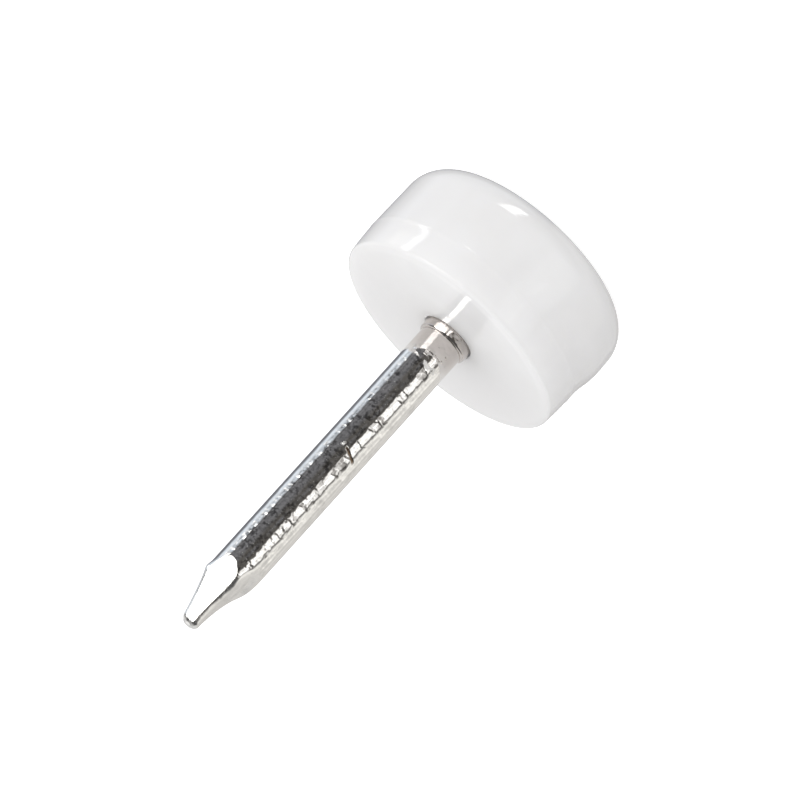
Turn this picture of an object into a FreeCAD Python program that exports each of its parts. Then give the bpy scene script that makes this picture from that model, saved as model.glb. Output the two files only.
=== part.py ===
import FreeCAD, Part
import math
import os
import Sketcher

# Nail-on furniture glide: a moulded plastic head with a bright plated steel nail set in it.
# Millimetres, +Z up. The origin is the bottom centre of the head, which slides on the floor,
# and the nail points straight up.

SIZES = {
    # plastic head
    "parting_dia": (15.92, "diameter at the parting line"),
    "rim_dia": (15.7, "diameter at the nail-side face, before its edge is rounded"),
    "sole_dia": (16.1, "diameter at the foot of the wall, before its edge is rounded"),
    "head_height": (7.5, "from the floor to the nail-side face"),
    "parting_drop": (2.4, "from the nail-side face down to the parting line"),
    "land_dia": (9.0, "flat middle of the sole"),
    "crown_radius": (14.0, "curve of the sole round its flat middle"),
    "sole_edge_radius": (2.0, "rounded edge between sole and wall"),
    "rim_edge_radius": (0.4, "rounded edge of the nail-side face"),
    # nail
    "nail_dia": (3.0, "shank diameter"),
    "nail_reach": (25.4, "from the nail-side face to the end of the point"),
    "collar_dia": (3.34, "collar round the shank, half sunk in the nail-side face"),
    "collar_rise": (0.4, "how far the collar stands out of the nail-side face"),
    "collar_grip": (1.5, "how far the collar reaches into the plastic"),
    "nail_head_dia": (6.6, "flat nail head, moulded into the plastic"),
    "nail_head_thick": (1.2, "thickness of the flat nail head"),
    "nail_head_cover": (2.0, "plastic between the flat nail head and the floor"),
    "point_length": (4.7, "length of the pinched facets"),
    "point_end_width": (0.98, "across the flats at the blunt end"),
    "pinch_radius": (10.0, "hollow curve of each facet, along the nail"),
    "point_end_radius": (0.25, "rounded edge of the blunt end"),
    "point_turn": (27.0, "turn of the facets about the nail, in degrees"),
}
FACETS = 4  # a square point, as a pair of dies pinches it
CUT_OVER = 1.0  # how far a cutting profile runs past the solid that it cuts
NEAR = 0.001  # an edge this close to a radius and a height is the one meant

# heights and radii that more than one feature uses
LAND_RADIUS = "sizes.land_dia / 2"
SOLE_RADIUS = "sizes.sole_dia / 2"
CROWN_RISE = (
    "sizes.crown_radius - sqrt(sizes.crown_radius ^ 2"
    " - ((sizes.sole_dia - sizes.land_dia) / 2) ^ 2)"
)
PARTING_RADIUS = "sizes.parting_dia / 2"
PARTING_HEIGHT = "sizes.head_height - sizes.parting_drop"
RIM_RADIUS = "sizes.rim_dia / 2"
FACE_HEIGHT = "sizes.head_height"
SHANK_RADIUS = "sizes.nail_dia / 2"
COLLAR_RADIUS = "sizes.collar_dia / 2"
COLLAR_BOTTOM = "sizes.head_height - sizes.collar_grip"
COLLAR_TOP = "sizes.head_height + sizes.collar_rise"
FLAT_RADIUS = "sizes.nail_head_dia / 2"
FLAT_BOTTOM = "sizes.nail_head_cover"
FLAT_TOP = "sizes.nail_head_cover + sizes.nail_head_thick"
TIP_HEIGHT = "sizes.head_height + sizes.nail_reach"
POINT_START = "sizes.head_height + sizes.nail_reach - sizes.point_length"
POINT_END_HALF = "sizes.point_end_width / 2"
AXIS = "0"
FLOOR = "0"

# the nail's outline inside the plastic, which the head's cavity follows
ANCHOR = [
    (AXIS, FLAT_BOTTOM),
    (FLAT_RADIUS, FLAT_BOTTOM),
    (FLAT_RADIUS, FLAT_TOP),
    (SHANK_RADIUS, FLAT_TOP),
    (SHANK_RADIUS, COLLAR_BOTTOM),
    (COLLAR_RADIUS, COLLAR_BOTTOM),
]

doc = FreeCAD.newDocument("furniture_glide")
sheet = doc.addObject("Spreadsheet::Sheet", "sizes")
for row, (alias, (value, note)) in enumerate(SIZES.items(), start=1):
    sheet.set("A%d" % row, note)
    sheet.set("B%d" % row, str(value))
    sheet.setAlias("B%d" % row, alias)
doc.recompute()


def value_of(formula):
    """The length in millimetres that a formula on the sheet gives."""
    return float(sheet.evalExpression(formula))


def over(formula):
    """The same place, moved past the solid by the cutting allowance."""
    return "%s + %g" % (formula, CUT_OVER)


def origin_feature(body, role):
    """One of the body's own origin planes or axes."""
    return next(f for f in body.Origin.OriginFeatures if f.Role == role)


def bind(sketch, constraint, formula):
    """Add a dimension to the sketch and tie it to the sheet."""
    index = sketch.addConstraint(constraint)
    sketch.setExpression("Constraints[%d]" % index, formula)


def arc_through(start, end, radius):
    """The shorter arc from start to end, its centre on the left of the way there."""
    chord = end - start
    left = FreeCAD.Vector(-chord.y, chord.x, 0).normalize()
    reach = math.sqrt(radius ** 2 - (chord.Length / 2) ** 2)
    centre = (start + end) * 0.5 + left * reach
    first = math.atan2(start.y - centre.y, start.x - centre.x)
    last = math.atan2(end.y - centre.y, end.x - centre.x)
    circle = Part.Circle(centre, FreeCAD.Vector(0, 0, 1), radius)
    return Part.ArcOfCircle(circle, first, last)


def profile(body, name, corners, arcs=None):
    """A closed sketch in the body's XZ plane, run anticlockwise.

    corners holds (distance from the axis, height) as formulas on the sheet. arcs gives the
    radius of each side that is an arc, by the number of the corner that it starts from.
    """
    arcs = arcs or {}
    sketch = body.newObject("Sketcher::SketchObject", name)
    sketch.AttachmentSupport = [(origin_feature(body, "XZ_Plane"), "")]
    sketch.MapMode = "FlatFace"
    places = [FreeCAD.Vector(value_of(x), value_of(z), 0) for x, z in corners]
    for side, start in enumerate(places):
        end = places[(side + 1) % len(places)]
        if side in arcs:
            sketch.addGeometry(arc_through(start, end, value_of(arcs[side])))
        else:
            sketch.addGeometry(Part.LineSegment(start, end))
    for side in range(len(places)):
        sketch.addConstraint(Sketcher.Constraint("Coincident", side, 2, (side + 1) % len(places), 1))
    for side, (x, z) in enumerate(corners):
        if x == AXIS:
            sketch.addConstraint(Sketcher.Constraint("PointOnObject", side, 1, -2))
        else:
            bind(sketch, Sketcher.Constraint("DistanceX", -1, 1, side, 1, places[side].x), x)
        if z == FLOOR:
            sketch.addConstraint(Sketcher.Constraint("PointOnObject", side, 1, -1))
        else:
            bind(sketch, Sketcher.Constraint("DistanceY", -1, 1, side, 1, places[side].y), z)
    for side, radius in arcs.items():
        bind(sketch, Sketcher.Constraint("Radius", side, value_of(radius)), radius)
    sketch.Visibility = False
    return sketch


def turned(body, kind, name, sketch):
    """Turn a profile right round the body's axis, as a solid or as a cut."""
    feature = body.newObject(kind, name)
    feature.Profile = sketch
    feature.ReferenceAxis = (origin_feature(body, "Z_Axis"), [""])
    feature.Angle = 360
    return feature


def ring_edges(feature, radius, height):
    """The names of the feature's round edges of one radius at one height."""
    names = []
    for index, edge in enumerate(feature.Shape.Edges, start=1):
        curve = edge.Curve
        if not isinstance(curve, Part.Circle):
            continue
        if abs(curve.Radius - radius) < NEAR and abs(curve.Center.z - height) < NEAR:
            names.append("Edge%d" % index)
    return names


def end_face_edges(feature, height):
    """The names of the edges that lie wholly at one height."""
    names = []
    for index, edge in enumerate(feature.Shape.Edges, start=1):
        box = edge.BoundBox
        if abs(box.ZMin - height) < NEAR and abs(box.ZMax - height) < NEAR:
            names.append("Edge%d" % index)
    return names


def rounded(body, name, base, edges, radius):
    """Round the named edges of the feature before."""
    fillet = body.newObject("PartDesign::Fillet", name)
    fillet.Base = (base, edges)
    fillet.setExpression("Radius", radius)
    return fillet


# Plastic head: a turned form with a slightly crowned sole, draft both ways from the parting
# line, and a cavity that the nail's shank and flat head fill, as the plastic was moulded on.
head = doc.addObject("PartDesign::Body", "glide_head")
head.Label = "glide_head"
outline = profile(head, "head_outline", [
    (AXIS, FLOOR),
    (LAND_RADIUS, FLOOR),
    (SOLE_RADIUS, CROWN_RISE),
    (PARTING_RADIUS, PARTING_HEIGHT),
    (RIM_RADIUS, FACE_HEIGHT),
    (AXIS, FACE_HEIGHT),
], arcs={1: "sizes.crown_radius"})
puck = turned(head, "PartDesign::Revolution", "head_turned", outline)
doc.recompute()
sole_ring = ring_edges(puck, value_of(SOLE_RADIUS), value_of(CROWN_RISE))
sole_edge = rounded(head, "sole_edge", puck, sole_ring, "sizes.sole_edge_radius")
doc.recompute()
rim_ring = ring_edges(sole_edge, value_of(RIM_RADIUS), value_of(FACE_HEIGHT))
rim_edge = rounded(head, "rim_edge", sole_edge, rim_ring, "sizes.rim_edge_radius")
cavity = profile(head, "nail_cavity_outline", ANCHOR + [
    (COLLAR_RADIUS, over(FACE_HEIGHT)),
    (AXIS, over(FACE_HEIGHT)),
])
turned(head, "PartDesign::Groove", "nail_cavity", cavity)

# Nail: flat head, a low collar where it leaves the plastic, a straight round shank and a
# square point pinched between dies.
nail = doc.addObject("PartDesign::Body", "nail")
nail.Label = "nail"
blank_outline = profile(nail, "nail_outline", ANCHOR + [
    (COLLAR_RADIUS, COLLAR_TOP),
    (SHANK_RADIUS, COLLAR_TOP),
    (SHANK_RADIUS, TIP_HEIGHT),
    (AXIS, TIP_HEIGHT),
])
blank = turned(nail, "PartDesign::Revolution", "nail_turned", blank_outline)
facet_outline = profile(nail, "facet_outline", [
    (SHANK_RADIUS, POINT_START),
    (over(SHANK_RADIUS), POINT_START),
    (over(SHANK_RADIUS), over(TIP_HEIGHT)),
    (POINT_END_HALF, over(TIP_HEIGHT)),
    (POINT_END_HALF, TIP_HEIGHT),
], arcs={4: "sizes.pinch_radius"})
facet = nail.newObject("PartDesign::Pocket", "facet")
facet.Profile = facet_outline
facet.Type = "ThroughAll"
facet.SideType = "Symmetric"
point = nail.newObject("PartDesign::PolarPattern", "point_facets")
point.Originals = [facet]
point.Axis = (origin_feature(nail, "Z_Axis"), [""])
point.Angle = 360
point.Occurrences = FACETS
nail.Tip = point
doc.recompute()
end_edges = end_face_edges(point, value_of(TIP_HEIGHT))
point_end = rounded(nail, "point_end", point, end_edges, "sizes.point_end_radius")
nail.Tip = point_end
nail.Placement.Rotation = FreeCAD.Rotation(FreeCAD.Vector(0, 0, 1), 0)
nail.setExpression(".Placement.Rotation.Angle", "sizes.point_turn")
doc.recompute()

parts = [head, nail]
for item in doc.Objects:
    if {"Invalid", "Error"} & set(item.State):
        raise RuntimeError("%s: %s" % (item.Name, item.State))
os.makedirs("parts", exist_ok=True)
for body in parts:
    shape = body.Shape
    if shape.isNull() or not shape.isValid() or len(shape.Solids) != 1:
        raise RuntimeError("%s is not one valid solid" % body.Label)
    print("%s: %.1f mm3" % (body.Label, shape.Volume), shape.BoundBox)
    shape.exportStep("parts/%s.step" % body.Label)
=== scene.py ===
import bpy
from math import atan2, cos, degrees, exp, pi, radians, sin, sqrt, tan
from mathutils import Matrix, Vector


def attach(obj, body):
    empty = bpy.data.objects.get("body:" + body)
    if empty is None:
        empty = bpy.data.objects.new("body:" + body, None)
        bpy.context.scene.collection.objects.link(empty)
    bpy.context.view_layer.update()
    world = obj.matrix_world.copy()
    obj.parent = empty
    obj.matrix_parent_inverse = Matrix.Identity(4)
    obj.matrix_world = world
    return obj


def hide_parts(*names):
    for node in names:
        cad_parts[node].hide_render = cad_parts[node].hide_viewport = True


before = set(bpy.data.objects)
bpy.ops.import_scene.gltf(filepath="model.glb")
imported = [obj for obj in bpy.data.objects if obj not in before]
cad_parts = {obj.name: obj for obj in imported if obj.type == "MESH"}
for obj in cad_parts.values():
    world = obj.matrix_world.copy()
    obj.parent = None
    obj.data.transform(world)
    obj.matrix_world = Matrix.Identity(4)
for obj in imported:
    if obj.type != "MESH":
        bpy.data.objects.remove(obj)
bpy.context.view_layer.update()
mm = 0.001


def metres(lengths):
    return tuple(length * mm for length in lengths)


# modelling helpers, all in edit mode with bpy.ops
def deselectAll():
    if bpy.context.object and bpy.context.object.mode != "OBJECT":
        bpy.ops.object.mode_set(mode="OBJECT")
    bpy.ops.object.select_all(action="DESELECT")


def arcPoints(centre, radius, startAngle, endAngle, steps):
    # points of an arc in a half-section: (distance from the axis, height), angles in degrees
    points = []
    for step in range(steps + 1):
        angle = radians(startAngle + (endAngle - startAngle) * step / steps)
        points.append((centre[0] + radius * cos(angle), centre[1] + radius * sin(angle)))
    return points


def linePoints(start, end, steps):
    # points along a straight run, without its last one
    points = []
    for step in range(steps):
        share = step / steps
        across = start[0] + (end[0] - start[0]) * share
        points.append((across, start[1] + (end[1] - start[1]) * share))
    return points


def roundCorner(before, corner, after, radius, steps):
    # a corner of a half-section, rounded
    corner = Vector(corner)
    inward = (Vector(before) - corner).normalized()
    outward = (Vector(after) - corner).normalized()
    halfTurn = inward.angle(outward) / 2
    start = corner + inward * (radius / tan(halfTurn))
    centre = corner + (inward + outward).normalized() * (radius / sin(halfTurn))
    spoke = start - centre
    sweep = pi - 2 * halfTurn
    side = 1 if inward.x * outward.y - inward.y * outward.x < 0 else -1
    points = []
    for step in range(steps + 1):
        turn = side * sweep * step / steps
        points.append((
            centre.x + spoke.x * cos(turn) - spoke.y * sin(turn),
            centre.y + spoke.x * sin(turn) + spoke.y * cos(turn),
        ))
    return points


def easeBetween(value, start, end):
    share = min(1.0, max(0.0, (value - start) / (end - start)))
    return share * share * (3 - 2 * share)


def turnSection(name, section, sides):
    # draws a half-section in mm vertex by vertex, then spins it right round the nail's axis
    deselectAll()
    bpy.ops.mesh.primitive_plane_add(size=mm, location=(0, 0, 0))
    piece = bpy.context.object
    piece.name = name
    bpy.ops.object.mode_set(mode="EDIT")
    bpy.ops.mesh.select_all(action="SELECT")
    bpy.ops.mesh.merge(type="CENTER")
    place = (0.0, 0.0)
    for number, point in enumerate(section):
        step = ((point[0] - place[0]) * mm, 0, (point[1] - place[1]) * mm)
        if number:
            bpy.ops.mesh.extrude_region_move(TRANSFORM_OT_translate={"value": step})
        else:
            bpy.ops.transform.translate(value=step)
        place = point
    bpy.ops.mesh.select_all(action="SELECT")
    bpy.ops.mesh.spin(steps=sides, angle=2 * pi, center=(0, 0, 0), axis=(0, 0, 1))
    bpy.ops.mesh.select_all(action="SELECT")
    bpy.ops.mesh.remove_doubles(threshold=0.0005 * mm)
    bpy.ops.mesh.normals_make_consistent(inside=False)
    bpy.ops.object.mode_set(mode="OBJECT")
    return piece


# shader helpers
class socketValue:
    # an output socket that plain expressions can use
    def __init__(self, tree, socket):
        self.tree = tree
        self.socket = socket

    def __add__(self, other):
        return self.tree.maths("ADD", self, other)

    def __radd__(self, other):
        return self.tree.maths("ADD", other, self)

    def __sub__(self, other):
        return self.tree.maths("SUBTRACT", self, other)

    def __rsub__(self, other):
        return self.tree.maths("SUBTRACT", other, self)

    def __mul__(self, other):
        return self.tree.maths("MULTIPLY", self, other)

    def __rmul__(self, other):
        return self.tree.maths("MULTIPLY", other, self)

    def __gt__(self, other):
        return self.tree.maths("GREATER_THAN", self, other)

    def __lt__(self, other):
        return self.tree.maths("LESS_THAN", self, other)


class shaderTree:
    def __init__(self, nodeTree):
        self.nodeTree = nodeTree
        nodeTree.nodes.clear()

    def add(self, kind, settings=None, inputs=None, output=0):
        node = self.nodeTree.nodes.new(kind)
        for name, value in (settings or {}).items():
            setattr(node, name, value)
        for key, value in (inputs or {}).items():
            if isinstance(value, socketValue):
                self.nodeTree.links.new(value.socket, node.inputs[key])
            else:
                node.inputs[key].default_value = value
        if len(node.outputs):
            return socketValue(self, node.outputs[output])

    def maths(self, operation, first, second=0.0):
        return self.add("ShaderNodeMath", {"operation": operation}, {0: first, 1: second})

    def vectorMaths(self, operation, first, second=(0, 0, 0), output="Vector"):
        return self.add(
            "ShaderNodeVectorMath", {"operation": operation}, {0: first, 1: second}, output)

    def axis(self, vector, name):
        return self.add("ShaderNodeSeparateXYZ", None, {0: vector}, name)

    def mixColours(self, factor, first, second):
        # sockets 6, 7 and output 2 are the colour ones
        inputs = {0: factor, 6: first, 7: second}
        return self.add("ShaderNodeMix", {"data_type": "RGBA"}, inputs, 2)

    def smoothStep(self, value, start, end):
        return self.add(
            "ShaderNodeMapRange",
            {"interpolation_type": "SMOOTHSTEP"},
            {"Value": value, "From Min": start, "From Max": end, "To Min": 0.0, "To Max": 1.0},
        )

    def window(self, value, low, high, blur, highBlur=None):
        # 1 between low and high, softened by the blur on both sides of each end
        highBlur = highBlur or blur
        inside = self.smoothStep(value, low - blur, low + blur)
        return inside * (1 - self.smoothStep(value, high - highBlur, high + highBlur))

    def noise(self, where, scale, detail=2.0, roughness=0.5):
        return self.add(
            "ShaderNodeTexNoise", None,
            {"Vector": where, "Scale": scale, "Detail": detail, "Roughness": roughness},
        )

    def stretched(self, where, scale):
        return self.add("ShaderNodeMapping", None, {"Vector": where, "Scale": scale})

    def bump(self, height):
        return self.add(
            "ShaderNodeBump", None, {"Strength": 1.0, "Distance": 1.0, "Height": height})

    def surface(self, inputs, settings=None):
        shader = self.add("ShaderNodeBsdfPrincipled", settings, inputs)
        self.add("ShaderNodeOutputMaterial", None, {"Surface": shader})


def newMaterial(name):
    material = bpy.data.materials.new(name)
    material.use_nodes = True
    return material, shaderTree(material.node_tree)


# camera, at the photograph's viewing angle
camera = {
    "aim": (0, 0, 7.8),  # mm, middle of the nail-side face
    "aimPixel": (447.1, 337.6),  # where that point shows in the picture
    "pixelsPerMm": 16.5,
    "picture": 800,
    "elevation": 20.1,  # degrees above the floor
    "roll": 137.92,  # degrees, so that the nail points to the lower left
    "distance": 600,  # mm
    "sensor": 36,
    "nearest": 0.01,  # metres, anything closer is not drawn
}
backWay = Vector((0, -cos(radians(camera["elevation"])), sin(radians(camera["elevation"]))))
levelRight = Vector((1, 0, 0))
levelUp = backWay.cross(levelRight)
rollAngle = radians(camera["roll"])
sideWay = levelRight * cos(rollAngle) - levelUp * sin(rollAngle)
upWay = levelRight * sin(rollAngle) + levelUp * cos(rollAngle)
offRight = (camera["aimPixel"][0] - camera["picture"] / 2) / camera["pixelsPerMm"]
offDown = (camera["aimPixel"][1] - camera["picture"] / 2) / camera["pixelsPerMm"]
eye = Vector(camera["aim"]) - sideWay * offRight + upWay * offDown + backWay * camera["distance"]

viewer = bpy.data.objects.new("viewer", bpy.data.cameras.new("viewer"))
bpy.context.scene.collection.objects.link(viewer)
viewer.data.sensor_width = camera["sensor"]
viewer.data.lens = (
    camera["sensor"] / camera["picture"] * camera["pixelsPerMm"] * camera["distance"]
)
viewer.data.clip_start = camera["nearest"]
turned = Matrix((sideWay, upWay, backWay)).transposed().to_4x4()
viewer.matrix_world = Matrix.Translation(eye * mm) @ turned
bpy.context.scene.camera = viewer
print("camera set")


# sizes of the plastic head, in mm
head = {
    "sides": 192,
    "height": 7.8,
    "soleRadius": 7.87,  # where wall and sole would meet if their edge were sharp
    "landRadius": 4.5,  # flat middle of the sole
    "crownRadius": 14.0,
    "soleEdge": 2.0,
    "partingRadius": 7.98,
    "partingHeight": 5.58,
    "partingLip": 0.009,  # how far the parting line stands out
    "partingWidth": 0.5,
    "rimRadius": 7.85,
    "rimEdge": 0.22,
    "faceFlat": 7.05,  # outside this radius the face falls away a little towards the rim
    "faceFall": 0.09,
    "barrel": 0.015,  # how far the wall above the parting line swells
    "cavityGap": 0.005,  # the plastic stays this far off the steel
    "mouthGap": 0.08,  # shrinkage gap round the collar, where the nail leaves the face
    "mouthDepth": 0.9,
    "mouthEdge": 0.12,
    "spread": 0.3,  # the lower half of the mould bulges this far towards -X
    "spreadTop": 5.1,
    "spreadBottom": 3.1,
    "spreadMargin": 1.0,  # the plastic this close round the nail's flat head keeps its place
    "smoothAngle": 35,  # degrees
    # steps of each run of the half-section
    "steps": {
        "land": 6,
        "crown": 8,
        "soleEdge": 20,
        "wall": 6,
        "parting": 8,
        "upperWall": 10,
        "rim": 12,
        "fall": 12,
        "fallKept": 5,  # the rim's rounding takes the place of the steps before this one
        "face": 10,
        "mouth": 6,
    },
}

# sizes of the steel nail, in mm: the plastic is moulded on it, so the head reads them too
nail = {
    "sides": 192,
    "radius": 1.5,
    "tipHeight": 32.55,
    "collarRadius": 1.67,
    "collarBottom": 6.0,
    "collarTop": 8.42,
    "collarEdge": 0.165,
    "flatRadius": 3.3,  # the flat head inside the plastic
    "flatBottom": 2.0,
    "flatTop": 3.2,
    "flatEdge": 0.12,
    "rowStep": 0.4,  # rows of faces along the shank
    "pointStart": 26.7,
    "pointRowStep": 0.07,
    # each die's face: where it starts, how far off the axis it ends, its hollow's radius, and
    # how softly it runs into the shank
    "dies": [
        (27.9, 0.45, 24.0, 0.05),  # front
        (28.6, 0.50, 30.0, 0.08),  # +X side, which closed a little less
        (27.8, 0.45, 22.0, 0.15),  # back
        (27.3, 0.54, 13.0, 0.22),  # -X side
    ],
    "turnAtStart": 30,  # degrees; the dies' faces twist a little along the point
    "turnAtEnd": 16,
    "twistDelay": 0.9,
    "twistLength": 2.2,
    "endEdge": 0.42,
    "leastFacing": 0.05,  # a die that lies nearly side on to a direction is left out there
    "farFace": 9.0,  # and this distance stands in for it
    "ridgeSoftness": 0.55,
    "bulge": 0.12,  # steel pushed out beside the point
    "bulgeAngle": -15,  # degrees from +X
    "bulgeHeight": 29.2,
    "bulgeReach": 0.55,
    "bulgeWidth": 14,  # degrees
    "smoothAngle": 24,  # degrees
    # steps of each run of the half-section
    "steps": {
        "flat": 4,
        "flatEdge": 3,
        "collarEdge": 4,
        "end": 12,
    },
}


# plastic head
def headSection():
    size = head
    steps = head["steps"]
    crownCentre = Vector((size["landRadius"], size["crownRadius"]))
    overhang = size["soleRadius"] - size["landRadius"]
    crownRise = size["crownRadius"] - sqrt(size["crownRadius"] ** 2 - overhang ** 2)
    wallFoot = Vector((size["soleRadius"], crownRise))
    parting = Vector((size["partingRadius"], size["partingHeight"]))
    wallWay = (parting - wallFoot).normalized()
    inward = Vector((-wallWay.y, wallWay.x))
    # middle of the sole edge's rounding: inside the wall and inside the crown by its radius
    base = wallFoot + inward * size["soleEdge"] - crownCentre
    along = base.dot(wallWay)
    reach = size["crownRadius"] - size["soleEdge"]
    shift = -along - sqrt(along ** 2 - base.length_squared + reach ** 2)
    edgeCentre = crownCentre + base + wallWay * shift
    downWay = (edgeCentre - crownCentre).normalized()
    crownEnd = degrees(atan2(downWay.y, downWay.x))
    wallStart = degrees(atan2(-inward.y, -inward.x))

    section = linePoints((0, 0), (size["landRadius"], 0), steps["land"])
    section += arcPoints(crownCentre, size["crownRadius"], -90, crownEnd, steps["crown"])[:-1]
    section += arcPoints(edgeCentre, size["soleEdge"], crownEnd, wallStart, steps["soleEdge"])

    # wall below the parting line, the line itself, and the swelling wall above it
    wallTop = parting - wallWay * (size["partingWidth"] / 2)
    section += linePoints(section[-1], wallTop, steps["wall"])[1:]
    rim = Vector((size["rimRadius"], size["height"] - size["faceFall"]))
    upperWay = (rim - parting).normalized()
    for step in range(steps["parting"] + 1):
        share = step / steps["parting"] - 0.5
        way = wallWay if share < 0 else upperWay
        lip = size["partingLip"] * (0.5 + 0.5 * cos(2 * pi * share))
        section.append(tuple(parting + way * (share * size["partingWidth"]) + Vector((lip, 0))))
    foot = Vector(section[-1])
    for step in range(1, steps["upperWall"] - 1):
        share = step / steps["upperWall"]
        swell = size["barrel"] * 4 * share * (1 - share)
        section.append(tuple(foot.lerp(rim, share) + Vector((swell, 0))))

    # rim, and the face from there to the nail
    fallWidth = size["rimRadius"] - size["faceFlat"]
    fall = []
    for step in range(steps["fallKept"], steps["fall"] + 1):
        share = step / steps["fall"]
        drop = size["faceFall"] * (1 - share) ** 2
        fall.append((rim.x - fallWidth * share, size["height"] - drop))
    section += roundCorner(section[-1], rim, fall[0], size["rimEdge"], steps["rim"])
    section += fall
    mouthRadius = nail["collarRadius"] + size["mouthGap"]
    faceEnd = (mouthRadius, size["height"])
    mouthFloor = size["height"] - size["mouthDepth"]
    mouthEnd = (mouthRadius, mouthFloor)
    section += linePoints(section[-1], faceEnd, steps["face"])[1:]
    section += roundCorner(section[-1], faceEnd, mouthEnd, size["mouthEdge"], steps["mouth"])
    section.append(mouthEnd)

    # cavity that the nail fills
    gap = size["cavityGap"]
    collar = nail["collarRadius"] + gap
    shaft = nail["radius"] + gap
    flat = nail["flatRadius"] + gap
    section += [
        (collar, mouthFloor),
        (collar, nail["collarBottom"] - gap),
        (shaft, nail["collarBottom"] - gap),
        (shaft, nail["flatTop"] + gap),
        (flat, nail["flatTop"] + gap),
        (flat, nail["flatBottom"] - gap),
        (0, nail["flatBottom"] - gap),
    ]
    return section


def bulgeMould(piece):
    # the outside of the lower half leans out to -X, and the cavity stays round
    for vertex in piece.data.vertices:
        away = vertex.co.xy.length
        outside = away > (nail["flatRadius"] + head["spreadMargin"]) * mm
        if outside or vertex.co.z < nail["flatBottom"] * mm / 2:
            share = 1 - easeBetween(vertex.co.z / mm, head["spreadBottom"], head["spreadTop"])
            towards = (away - vertex.co.x) / (head["soleRadius"] * mm) / 2
            vertex.co.x -= head["spread"] * mm * share * towards


headPiece = turnSection("glide_head_moulding", headSection(), head["sides"])
bulgeMould(headPiece)
print("plastic head turned")


# nail
def dieDistance(die, height):
    # how far a die's hollow face stands from the nail's axis at this height
    startHeight, endHalf, radius, blend = die
    chord = Vector((nail["radius"] - endHalf, startHeight - nail["tipHeight"]))
    middle = Vector((nail["radius"] + endHalf, nail["tipHeight"] + startHeight)) / 2
    reach = sqrt(radius ** 2 - (chord.length / 2) ** 2)
    centre = middle + Vector((-chord.y, chord.x)).normalized() * reach
    return centre.x - sqrt(max(0.0, radius ** 2 - (height - centre.y) ** 2))


def softLess(first, second, softness):
    # the smaller of two lengths, blended where they are nearly equal
    nearness = max(softness - abs(first - second), 0) / softness
    return min(first, second) - nearness * nearness * softness / 4


def nailSection():
    size = nail
    steps = nail["steps"]
    edge = size["flatEdge"]
    flatSide = size["flatRadius"] - edge
    section = linePoints((0, size["flatBottom"]), (flatSide, size["flatBottom"]), steps["flat"])
    section += arcPoints((flatSide, size["flatBottom"] + edge), edge, -90, 0, steps["flatEdge"])
    section += arcPoints((flatSide, size["flatTop"] - edge), edge, 0, 90, steps["flatEdge"])
    section += [
        (size["radius"], size["flatTop"]),
        (size["radius"], size["collarBottom"]),
        (size["collarRadius"], size["collarBottom"]),
    ]
    edge = size["collarEdge"]
    edgeCentre = (size["collarRadius"] - edge, size["collarTop"] - edge)
    section += arcPoints(edgeCentre, edge, 0, 90, steps["collarEdge"])
    shankFoot = (size["radius"], size["collarTop"])
    shankTop = (size["radius"], size["pointStart"])
    rows = round((size["pointStart"] - size["collarTop"]) / size["rowStep"])
    section += linePoints(shankFoot, shankTop, rows)
    endStart = size["tipHeight"] - size["endEdge"]
    rows = round((endStart - size["pointStart"]) / size["pointRowStep"])
    section += linePoints(shankTop, (size["radius"], endStart), rows)
    # rounded end, which the dies narrow later
    for step in range(steps["end"] + 1):
        angle = radians(90 * step / steps["end"])
        section.append((size["radius"] * cos(angle), endStart + size["endEdge"] * sin(angle)))
    return section


def pinchPoint(piece):
    # four dies press the point: each vertex above the straight shank goes in to the nearest die
    twistStart = nail["pointStart"] + nail["twistDelay"]
    softness = nail["ridgeSoftness"]
    for vertex in piece.data.vertices:
        height = vertex.co.z / mm
        if height < nail["pointStart"]:
            continue
        around = atan2(vertex.co.y, vertex.co.x)
        offBulge = (degrees(around) - nail["bulgeAngle"] + 180) % 360 - 180
        swell = exp(-((height - nail["bulgeHeight"]) / nail["bulgeReach"]) ** 2)
        swell *= exp(-(offBulge / nail["bulgeWidth"]) ** 2)
        shank = nail["radius"] + nail["bulge"] * swell
        twist = easeBetween(height, twistStart, twistStart + nail["twistLength"])
        turn = nail["turnAtStart"] + (nail["turnAtEnd"] - nail["turnAtStart"]) * twist
        faces = [(nail["farFace"], nail["dies"][0][3])]
        for number, die in enumerate(nail["dies"]):
            facing = cos(around - radians(turn - 90 + 90 * number))
            if facing > nail["leastFacing"]:
                faces.append((dieDistance(die, height) / facing, die[3]))
        faces.sort()
        nearest, blend = faces[0]
        second, secondBlend = faces[1]
        limit = softLess(nearest, second, softness)
        # how softly the faces run into the shank, mixed where two of them meet
        share = 0.5 - 0.5 * easeBetween(second - nearest, 0, softness)
        limit = softLess(limit, shank, blend * (1 - share) + secondBlend * share)
        vertex.co.x *= limit / nail["radius"]
        vertex.co.y *= limit / nail["radius"]


nailPiece = turnSection("nail_steel", nailSection(), nail["sides"])
pinchPoint(nailPiece)
print("nail turned and pointed")


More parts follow.
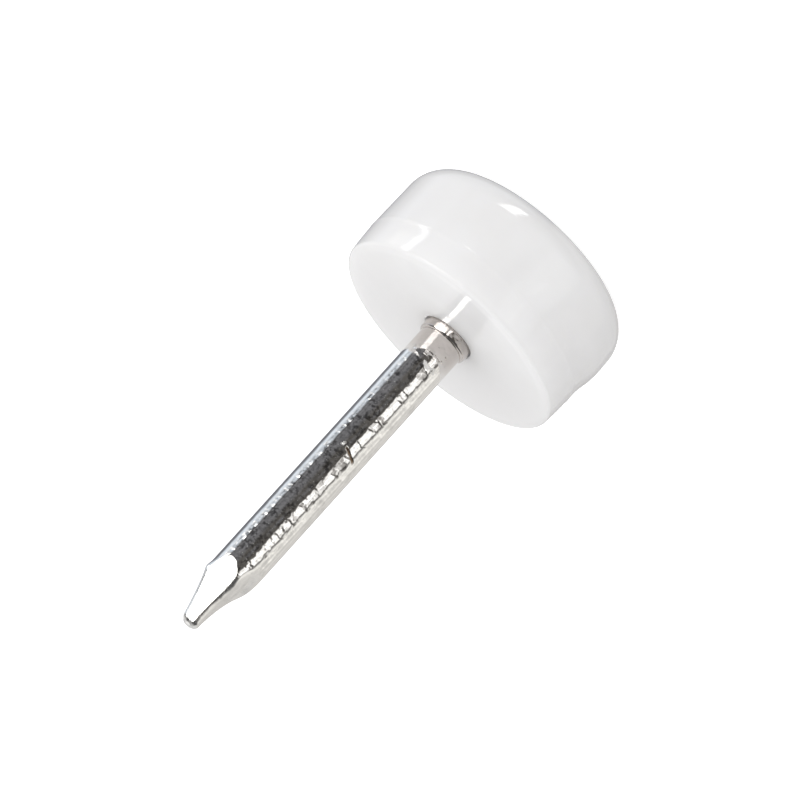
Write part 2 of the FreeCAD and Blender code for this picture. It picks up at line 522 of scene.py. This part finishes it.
# finishes: lengths are in mm, and a pattern's scale is per metre
plastic = {
    "colour": (0.866, 0.863, 0.864, 1),
    "shade": (0.84, 0.833, 0.833, 1),
    "mottleScale": 260,
    "mottleRange": (0.35, 0.75),
    "deep": (0.825, 0.818, 0.819, 1),  # painted shade: a little darker with the distance from one spot
    "paintedShadeFrom": (0, -7.5, 6.8),
    "paintedShadeReach": (4, 11),
    "rimPaintedShade": (0.80, 0.794, 0.794, 1),  # painted shade: darker at the rim's edge, to dim its bright line
    "rimRadii": (7.3, 7.75),
    "rimHeights": (7.3, 7.6),
    "rimPaintedShadeShare": 0.6,
    "roughness": 0.06,
    "roughnessSpread": 0.04,
    "roughnessScale": 700,
    "refraction": 1.5,
    "specular": 0.3,
    "subsurface": 0.55,
    "subsurfaceReach": (2.2, 2.2, 2.3),
    "waveDepth": 0.02,  # slow waviness of a thick moulding
    "waveScale": 450,
    "grainDepth": 0.0004,
    "grainScale": 9000,
}


def makePlastic():
    material, tree = newMaterial("milky_moulded_plastic")
    where = tree.add("ShaderNodeTexCoord", output="Object")
    mottle = tree.smoothStep(
        tree.noise(where, plastic["mottleScale"], 3.0), *plastic["mottleRange"])
    colour = tree.mixColours(mottle, plastic["colour"], plastic["shade"])
    # painted shade: the plastic gets darker away from a spot at the front below the rim
    offShadeSpot = tree.vectorMaths("DISTANCE", where, metres(plastic["paintedShadeFrom"]), "Value")
    deep = tree.smoothStep(offShadeSpot, *metres(plastic["paintedShadeReach"]))
    colour = tree.mixColours(deep, colour, plastic["deep"])
    level = tree.vectorMaths("MULTIPLY", where, (1, 1, 0))
    away = tree.vectorMaths("LENGTH", level, output="Value")
    # painted shade along the rim's edge
    rimShadeMask = tree.smoothStep(away, *metres(plastic["rimRadii"]))
    rimShadeMask = rimShadeMask * tree.smoothStep(tree.axis(where, "Z"), *metres(plastic["rimHeights"]))
    colour = tree.mixColours(rimShadeMask * plastic["rimPaintedShadeShare"], colour, plastic["rimPaintedShade"])
    wave = tree.noise(where, plastic["waveScale"], 1.0)
    grain = tree.noise(where, plastic["grainScale"])
    height = wave * (plastic["waveDepth"] * mm) + grain * (plastic["grainDepth"] * mm)
    uneven = plastic["roughnessSpread"] * tree.noise(where, plastic["roughnessScale"])
    tree.surface({
        "Base Color": colour,
        "Roughness": plastic["roughness"] + uneven,
        "IOR": plastic["refraction"],
        "Specular IOR Level": plastic["specular"],
        "Subsurface Weight": plastic["subsurface"],
        "Subsurface Radius": plastic["subsurfaceReach"],
        "Subsurface Scale": mm,
        "Normal": tree.bump(height),
    }, {"subsurface_method": "RANDOM_WALK"})
    return material


plating = {
    "colour": (0.83, 0.82, 0.80, 1),
    "duller": (0.70, 0.69, 0.67, 1),
    "wearScale": 900,
    "wearRange": (0.5, 0.72),
    "roughness": 0.05,
    "wearRoughness": 0.05,
    "beadScale": 1500,  # uneven plating, about 0.7 mm from bump to bump
    "beadDepth": 0.017,
    "ringScale": 1900,  # ripples round the wire
    "ringStretch": (0.45, 0.45, 1),
    "ringDepth": 0.019,
    "roughSide": (-0.5, -1.0),  # along Y: the plating is rougher on the front
    "backShare": 0.35,  # how much of the bumps is left at the back
    "grainScale": 7000,
    "grainDepth": 0.0016,
    # a drawing mark along the shank, broken into beads: real dents in the bump, with painted
    # shade in their colour
    "dentScale": 950,
    "dentStretch": (0.13, 0.13, 1),
    "dentEdges": (0.01, 0.1),
    "dentPatchScale": 800,  # the mark is deep in some places and gone in others
    "dentPatchRange": (0.38, 0.55),
    "dentSides": (-0.78, -0.14),  # along X
    "dentFade": 0.08,
    "dentDepth": 0.006,
    # painted shade: the dents are coloured near black, as dark gaps in the bright band
    "dentShadeColour": (0.16, 0.15, 0.14, 1),
    "dentShadeShare": 0.85,
    "waver": 0.8,  # how far the dents' lines stray
    "waverScale": 2200,
    "swellScale": 1100,  # the steel between the dents bulges a little
    "swellDepth": 0.09,
    "swellSides": (-0.93, 0.035),  # along X
    "swellFades": (0.15, 0.175),
    # painted dark reflection on the front, thinner in patches
    "darkReflectionScale": 3200,
    "darkReflectionRange": (0.42, 0.62),
    "darkReflectionSides": (-0.1, 1.15),  # along X
    "darkReflectionFade": 0.05,
    "darkReflectionColour": (0.09, 0.087, 0.085, 1),
    "darkReflectionShare": 0.85,
    "patchScale": 1300,
    "patchRange": (0.42, 0.56),
    "patchFloor": 0.4,  # how much of the painted dark reflection is left where it is thin
    # the dies leave the point's faces duller than the drawn shank
    "pressedRadii": (1.44, 1.49),
    "pressedRoughness": 0.2,
    # a short dark nick across the front of the shank
    "nickHeight": 17.97,
    "nickSlope": 0.5,  # how far it climbs for each mm across
    "nickWander": 0.4,
    "nickWidth": 0.16,
    "nickCore": 0.2,  # share of its width that is dark throughout
    "nickEnds": (-0.86, 0.1),  # along X
    "nickFade": 0.1,
    "nickDepth": 0.05,
    "nickColour": (0.20, 0.14, 0.09, 1),
    "nickRoughness": 0.2,
    # a rubbed spot below the nick
    "scuff": (0.35, -1.46, 17.8),
    "scuffReach": 0.22,
    "scuffCore": 0.3,
    "scuffWander": 0.25,
    "scuffRoughness": 0.28,
    "rootShadeColour": (0.66, 0.62, 0.59, 1),  # painted shade: the steel is darker and warmer next to the plastic
    "rootShadeHeights": (9.2, 10.7),
}


def makePlating():
    material, tree = newMaterial("bright_plated_steel")
    where = tree.add("ShaderNodeTexCoord", output="Object")
    east = tree.axis(where, "X")
    north = tree.axis(where, "Y")
    along = tree.axis(where, "Z")
    onFront = north < 0.0
    onPoint = along > nail["pointStart"] * mm
    beads = tree.noise(where, plating["beadScale"], 1.0)
    ringPlace = tree.stretched(where, plating["ringStretch"])
    rings = tree.noise(ringPlace, plating["ringScale"], 1.5)
    grain = tree.noise(where, plating["grainScale"], 2.0, 0.6)

    # nick
    middle = plating["nickHeight"] * mm - east * plating["nickSlope"]
    offNick = along - middle + (beads - 0.5) * (plating["nickWander"] * mm)
    offNick = tree.maths("ABSOLUTE", offNick)
    width = plating["nickWidth"] * mm
    nick = 1 - tree.smoothStep(offNick, plating["nickCore"] * width, width)
    nick = nick * tree.window(east, *metres(plating["nickEnds"]), plating["nickFade"] * mm)
    nick = nick * onFront

    # drawing mark: dents on wavering lines, and the steel that bulges between them
    waver = (tree.noise(where, plating["waverScale"], 1.0) - 0.5) * (plating["waver"] * mm)
    waver = tree.add("ShaderNodeCombineXYZ", None, {"Z": waver})
    cells = tree.vectorMaths("ADD", tree.stretched(where, plating["dentStretch"]), waver)
    toEdge = tree.add(
        "ShaderNodeTexVoronoi", {"feature": "DISTANCE_TO_EDGE"},
        {"Vector": cells, "Scale": plating["dentScale"]}, "Distance")
    deep = tree.smoothStep(
        tree.noise(cells, plating["dentPatchScale"], 1.0), *plating["dentPatchRange"])
    dents = (1 - tree.smoothStep(toEdge, *plating["dentEdges"])) * deep * (1 - onPoint)
    inMark = tree.window(east, *metres(plating["dentSides"]), plating["dentFade"] * mm)
    dents = dents * inMark * onFront
    swells = tree.noise(cells, plating["swellScale"], 0.0)
    swells = swells * tree.window(
        east, *metres(plating["swellSides"]), *metres(plating["swellFades"])) * onFront

    # bumps
    uneven = tree.smoothStep(north, *metres(plating["roughSide"])) * (1 - plating["backShare"])
    uneven = uneven + plating["backShare"]
    height = (beads * (plating["beadDepth"] * mm) + rings * (plating["ringDepth"] * mm)) * uneven
    height = height - dents * (plating["dentDepth"] * mm) + swells * (plating["swellDepth"] * mm)
    height = height + grain * (plating["grainDepth"] * mm) - nick * (plating["nickDepth"] * mm)

    # wear, pressed faces, rubbed spot and painted dark reflection
    wear = tree.smoothStep(
        tree.noise(where, plating["wearScale"], 4.0, 0.6), *plating["wearRange"])
    away = tree.maths("POWER", east * east + north * north, 0.5)
    pressed = (1 - tree.smoothStep(away, *metres(plating["pressedRadii"]))) * onPoint
    offScuff = tree.vectorMaths("DISTANCE", where, metres(plating["scuff"]), "Value")
    offScuff = offScuff + (grain - 0.5) * (plating["scuffWander"] * mm)
    reach = plating["scuffReach"] * mm
    scuff = 1 - tree.smoothStep(offScuff, plating["scuffCore"] * reach, reach)
    # painted reflection: a mottled dark band down the front of the steel
    darkReflection = tree.smoothStep(
        tree.noise(where, plating["darkReflectionScale"], 4.0, 0.7), *plating["darkReflectionRange"])
    patches = tree.smoothStep(tree.noise(where, plating["patchScale"]), *plating["patchRange"])
    darkReflection = darkReflection * (plating["patchFloor"] + (1 - plating["patchFloor"]) * patches)
    darkReflection = darkReflection * tree.window(
        east, *metres(plating["darkReflectionSides"]), plating["darkReflectionFade"] * mm)
    darkReflection = darkReflection * onFront * (1 - pressed)

    colour = tree.mixColours(wear, plating["colour"], plating["duller"])
    # painted shade in the dents
    colour = tree.mixColours(dents * plating["dentShadeShare"], colour, plating["dentShadeColour"])
    # painted dark reflection
    colour = tree.mixColours(darkReflection * plating["darkReflectionShare"], colour, plating["darkReflectionColour"])
    # painted shade next to the plastic
    aboveRoot = tree.smoothStep(along, *metres(plating["rootShadeHeights"]))
    colour = tree.mixColours(aboveRoot, plating["rootShadeColour"], colour)
    rough = plating["roughness"] + plating["wearRoughness"] * wear
    rough = rough + plating["pressedRoughness"] * pressed
    rough = rough + plating["nickRoughness"] * nick + plating["scuffRoughness"] * scuff
    tree.surface({
        "Base Color": tree.mixColours(nick, colour, plating["nickColour"]),
        "Metallic": 1.0,
        "Roughness": rough,
        "Normal": tree.bump(height),
    })
    return material


def finishPiece(piece, material, node, smoothAngle):
    deselectAll()
    piece.select_set(True)
    bpy.context.view_layer.objects.active = piece
    bpy.ops.object.transform_apply(location=True, rotation=True, scale=True)
    bpy.ops.object.shade_smooth_by_angle(angle=radians(smoothAngle))
    piece.data.materials.clear()
    piece.data.materials.append(material)
    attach(piece, "root")
    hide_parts(node)


finishPiece(headPiece, makePlastic(), "glide_head", head["smoothAngle"])
finishPiece(nailPiece, makePlating(), "nail", nail["smoothAngle"])
print("finishes on")


# floor, light and what the steel mirrors
studio = {
    "floorRadius": 3.0,  # metres
    "floorSides": 96,
    "floorColour": (0.93, 0.93, 0.93, 1),
    "floorRoughness": 0.9,
    "floorGlow": 0.45,
    "backdrop": (1.3, 1.3, 1.3, 1),  # what the camera sees behind everything
    "soft": 0.848,  # even light all round
    "lightWay": (0.5, -0.48, 0.72),  # the light is a little stronger from here
    "lightSlope": 0.43,
    # what the steel and the plastic mirror: directions are azimuth in degrees from -Y round to
    # -X, and elevation. Each panel covers the ones before it.
    "dark": (0.14, 0.132, 0.123, 1),
    "panels": [
        # azimuth from, to, blur, elevation from, to, blur, colour
        (-79, -30, 14, -95, 95, 1, (0.25, 0.25, 0.265, 1)),
        (-180, -120, 3, -95, 95, 1, (0.26, 0.27, 0.30, 1)),
        (-131, -80, 6, -95, 95, 1, (0.95, 1.02, 1.12, 1)),
        (-110, -88, 3, -18, -9, 2, (1.9, 1.9, 1.9, 1)),
        (14, 50, 2, -29, -13, 3, (1.45, 1.43, 1.41, 1)),
        (28, 32, 1.5, -21, -12, 1.5, (3.0, 3.0, 3.0, 1)),
        (60, 180, 2, -95, 95, 1, (0.66, 0.65, 0.63, 1)),
        (60, 150, 12, -95, 95, 1, (0.93, 0.91, 0.88, 1)),
        (60, 98, 6, -95, 95, 1, (1.18, 1.16, 1.12, 1)),
        # above: dark towards the camera, bright behind
        (-125, 110, 12, 6, 95, 5, (0.12, 0.12, 0.12, 1)),
        (110, 250, 20, 0, 95, 8, (0.93, 0.93, 0.93, 1)),
        (-250, -110, 20, 0, 95, 8, (0.93, 0.93, 0.93, 1)),
        # lamps
        (-150, -95, 8, 48, 80, 5, (1.5, 1.5, 1.5, 1)),
        (-76, -20, 2, -8, 15, 2, (4.5, 4.45, 4.3, 1)),
        (-68, -38, 3, 13, 36, 2, (7.0, 7.0, 7.0, 1)),
        (-48, -31, 3, -64, -29, 2, (13.0, 13.0, 13.0, 1)),
    ],
    # a slanting lamp: azimuth, elevation, half width, half height, slant, blur, colour
    "slantLamp": (-86.2, -11.8, 4.4, 5.7, -0.9, 1.0, (8.0, 8.0, 8.0, 1)),
    "mottleScale": 9.0,  # the surroundings are a little uneven
    "mottleFrom": (0.35, 0.65),
    "mottleTo": (0.78, 1.18),
}

deselectAll()
bpy.ops.mesh.primitive_circle_add(
    vertices=studio["floorSides"], radius=studio["floorRadius"], fill_type="NGON",
    location=(0, 0, 0))
floor = bpy.context.object
floor.name = "studio_floor"
floor.visible_glossy = False  # the steel and the plastic mirror the panels instead
floor.visible_diffuse = False
material, tree = newMaterial("pale_floor")
tree.surface({
    "Base Color": studio["floorColour"],
    "Roughness": studio["floorRoughness"],
    "Emission Color": (1, 1, 1, 1),
    "Emission Strength": studio["floorGlow"],
})
floor.data.materials.append(material)

world = bpy.data.worlds.new("studio_world")
bpy.context.scene.world = world
world.use_nodes = True
world.cycles.sampling_method = "NONE"  # so that only mirrored rays find the panels
tree = shaderTree(world.node_tree)
way = tree.add("ShaderNodeTexCoord", output="Generated")
west = -1.0 * tree.axis(way, "X")
south = -1.0 * tree.axis(way, "Y")
azimuth = tree.maths("ARCTAN2", west, south) * degrees(1)
elevation = tree.maths("ARCSINE", tree.axis(way, "Z")) * degrees(1)
mirrored = studio["dark"]
for left, right, sideBlur, bottom, top, endBlur, colour in studio["panels"]:
    inside = tree.window(azimuth, left, right, sideBlur)
    inside = inside * tree.window(elevation, bottom, top, endBlur)
    mirrored = tree.mixColours(inside, mirrored, colour)
middle, lampHeight, halfWidth, halfHeight, slant, blur, colour = studio["slantLamp"]
upDown = elevation - lampHeight
across = tree.maths("ABSOLUTE", azimuth - middle - slant * upDown)
upDown = tree.maths("ABSOLUTE", upDown)
inside = 1 - tree.smoothStep(across, halfWidth - blur, halfWidth + blur)
inside = inside * (1 - tree.smoothStep(upDown, halfHeight - blur, halfHeight + blur))
mirrored = tree.mixColours(inside, mirrored, colour)
uneven = tree.add("ShaderNodeMapRange", None, {
    "Value": tree.noise(way, studio["mottleScale"], 3.0),
    "From Min": studio["mottleFrom"][0],
    "From Max": studio["mottleFrom"][1],
    "To Min": studio["mottleTo"][0],
    "To Max": studio["mottleTo"][1],
})
mirrored = tree.add(
    "ShaderNodeVectorMath", {"operation": "SCALE"}, {0: mirrored, "Scale": uneven}, "Vector")
lightWay = Vector(studio["lightWay"]).normalized()
facing = tree.vectorMaths("DOT_PRODUCT", way, lightWay, "Value")
softLevel = 1.0 + facing * studio["lightSlope"]
softGrey = tree.add("ShaderNodeCombineColor", None, {0: softLevel, 1: softLevel, 2: softLevel})
isGlossy = tree.add("ShaderNodeLightPath", output="Is Glossy Ray")
isCamera = tree.add("ShaderNodeLightPath", output="Is Camera Ray")
colour = tree.mixColours(isGlossy, softGrey, mirrored)
colour = tree.mixColours(isCamera, colour, studio["backdrop"])
background = tree.add("ShaderNodeBackground", None, {"Color": colour, "Strength": studio["soft"]})
tree.add("ShaderNodeOutputWorld", None, {"Surface": background})
bpy.context.scene.view_settings.view_transform = "Standard"
print("studio lit")

deselectAll()
